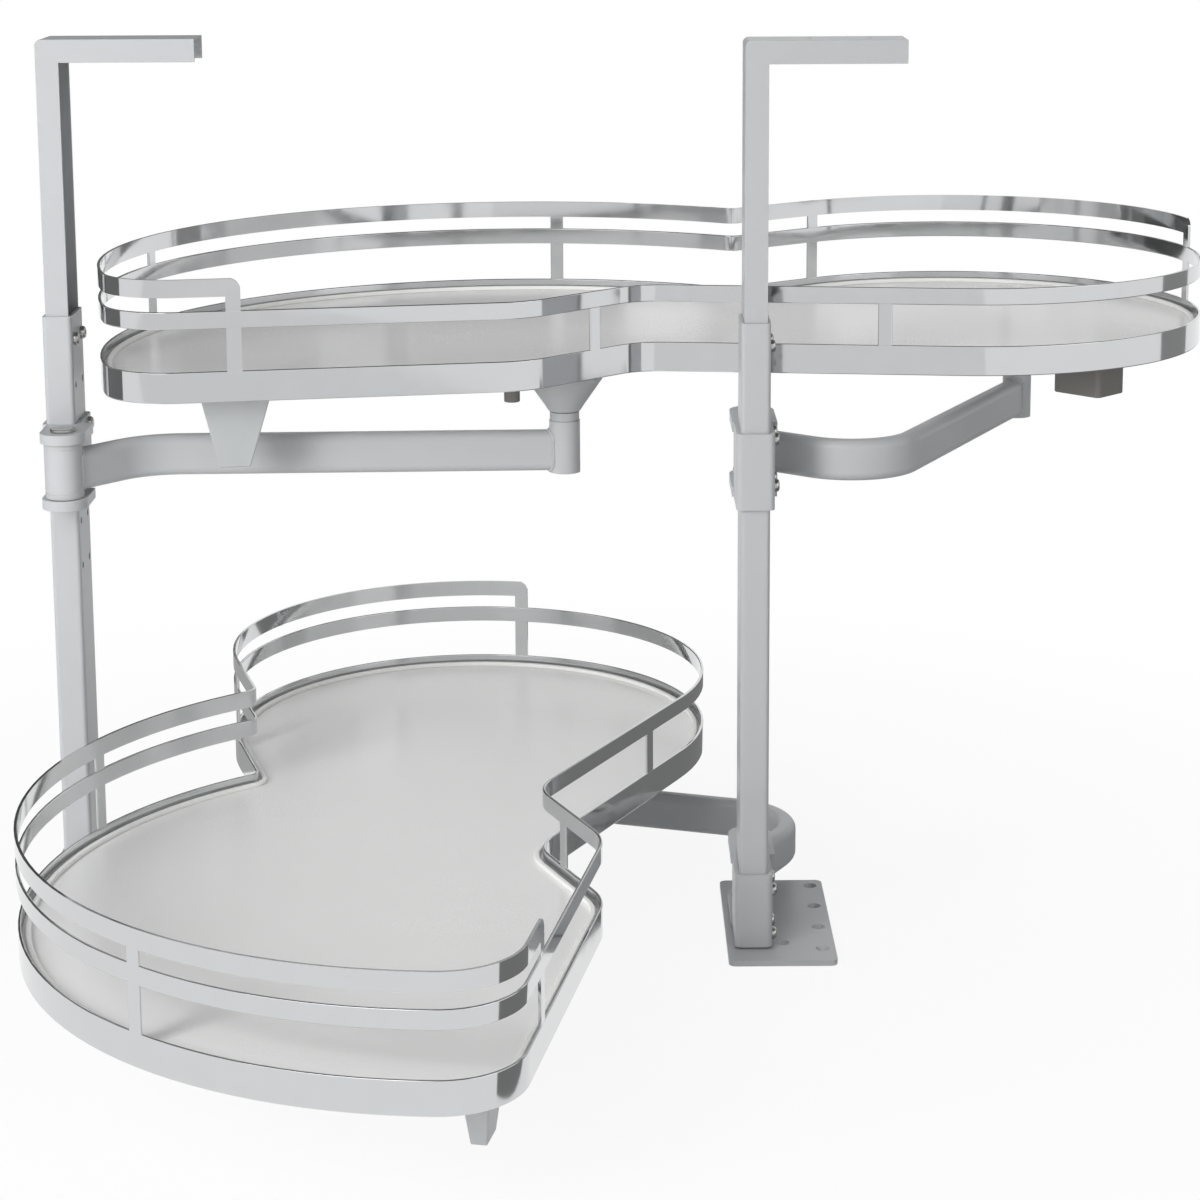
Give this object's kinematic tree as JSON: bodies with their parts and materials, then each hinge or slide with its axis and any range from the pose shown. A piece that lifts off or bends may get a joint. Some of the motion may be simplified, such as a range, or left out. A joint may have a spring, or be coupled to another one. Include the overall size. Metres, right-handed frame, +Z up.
{
  "type": "blind corner pull out",
  "caption": "Corner cabinet pull-out with kidney-shaped railed trays on swing arms between posts; each tray swings out of the blind corner on its linkage.",
  "frame": {"origin": "underside of the right base plate, under the centre of the right post", "axes": "+X to the right seen from the cabinet door, +Y into the cabinet, +Z up"},
  "size_m": [0.8362, 0.8534, 0.632],
  "materials": {
    "grey_steel": "light grey powder coat",
    "chrome": "polished",
    "white_panel": "white coated board, satin",
    "white_edge": "satin",
    "grey_plastic": "satin",
    "dark_plastic": "satin",
    "steel": "bright zinc"
  },
  "bodies": {
    "frame": {"right_base_plate": "grey_steel", "left_base_plate": "grey_steel", "right_post": "grey_steel", "left_post": "grey_steel", "right_top_bracket": "grey_steel", "left_top_bracket": "grey_steel", "right_lower_hinge_bracket": "grey_steel", "right_upper_hinge_bracket": "grey_steel", "left_lower_hinge_bracket": "grey_steel", "left_upper_hinge_bracket": "grey_steel", "right_hinge_pins": "steel", "left_hinge_pins": "steel", "bracket_screws": "steel", "top_screws": "steel"},
    "upper_left_arm_body": {"upper_left_arm": "grey_steel", "upper_left_bushes": "grey_plastic", "upper_left_washer": "grey_plastic"},
    "upper_right_arm_body": {"upper_right_arm": "grey_steel", "upper_right_bushes": "grey_plastic", "upper_right_washer": "grey_plastic"},
    "upper_tray_body": {"upper_panel": "white_panel", "upper_bead": "white_edge", "upper_rim": "chrome", "upper_low_rail": "chrome", "upper_high_rail": "chrome", "upper_rail_posts": "chrome", "upper_left_boss": "grey_plastic", "upper_right_boss": "grey_plastic", "upper_pivot_pin": "steel", "upper_stop_foot": "grey_plastic", "upper_damper": "dark_plastic", "upper_peg": "dark_plastic"},
    "lower_left_arm_body": {"lower_left_arm": "grey_steel", "lower_left_bushes": "grey_plastic", "lower_left_washer": "grey_plastic"},
    "lower_right_arm_body": {"lower_right_arm": "grey_steel", "lower_right_bushes": "grey_plastic", "lower_right_washer": "grey_plastic"},
    "lower_tray_body": {"lower_panel": "white_panel", "lower_bead": "white_edge", "lower_rim": "chrome", "lower_low_rail": "chrome", "lower_high_rail": "chrome", "lower_rail_posts": "chrome", "lower_left_boss": "grey_plastic", "lower_right_boss": "grey_plastic", "lower_pivot_pin": "steel", "lower_stop_foot": "grey_plastic", "lower_damper": "dark_plastic", "lower_peg": "dark_plastic"}
  },
  "joints": [
    {"name": "upper_left_swing", "type": "hinge", "parent": "frame", "child": "upper_left_arm_body", "pos_m": [-0.469, -0.0025, 0.343], "axis": [0, 0, 1], "range_deg": [-34.8, 0]},
    {"name": "upper_tray_turn", "type": "hinge", "parent": "upper_left_arm_body", "child": "upper_tray_body", "pos_m": [-0.1295, 0.058, 0.343], "axis": [0, 0, 1], "range_deg": [0, 105.1]},
    {"name": "upper_right_swing", "type": "hinge", "parent": "frame", "child": "upper_right_arm_body", "pos_m": [0.00145, 0.061, 0.343], "axis": [0, 0, 1], "range_deg": [0, 99.5]},
    {"name": "lower_left_swing", "type": "hinge", "parent": "frame", "child": "lower_left_arm_body", "pos_m": [-0.469, -0.0025, 0.032], "axis": [0, 0, 1], "range_deg": [0, 34.8]},
    {"name": "lower_tray_turn", "type": "hinge", "parent": "lower_left_arm_body", "child": "lower_tray_body", "pos_m": [-0.15569, -0.14658, 0.032], "axis": [0, 0, 1], "range_deg": [-105.1, 0]},
    {"name": "lower_right_swing", "type": "hinge", "parent": "frame", "child": "lower_right_arm_body", "pos_m": [0.00145, 0.061, 0.032], "axis": [0, 0, 1], "range_deg": [-99.5, 0]}
  ],
  "couplings": [
    {"joint": "upper_tray_turn", "follows": "upper_left_swing", "ratio": -3.0171},
    {"joint": "upper_right_swing", "follows": "upper_left_swing", "ratio": -2.8579},
    {"joint": "lower_tray_turn", "follows": "lower_left_swing", "ratio": -3.0171},
    {"joint": "lower_right_swing", "follows": "lower_left_swing", "ratio": -2.8579}
  ]
}
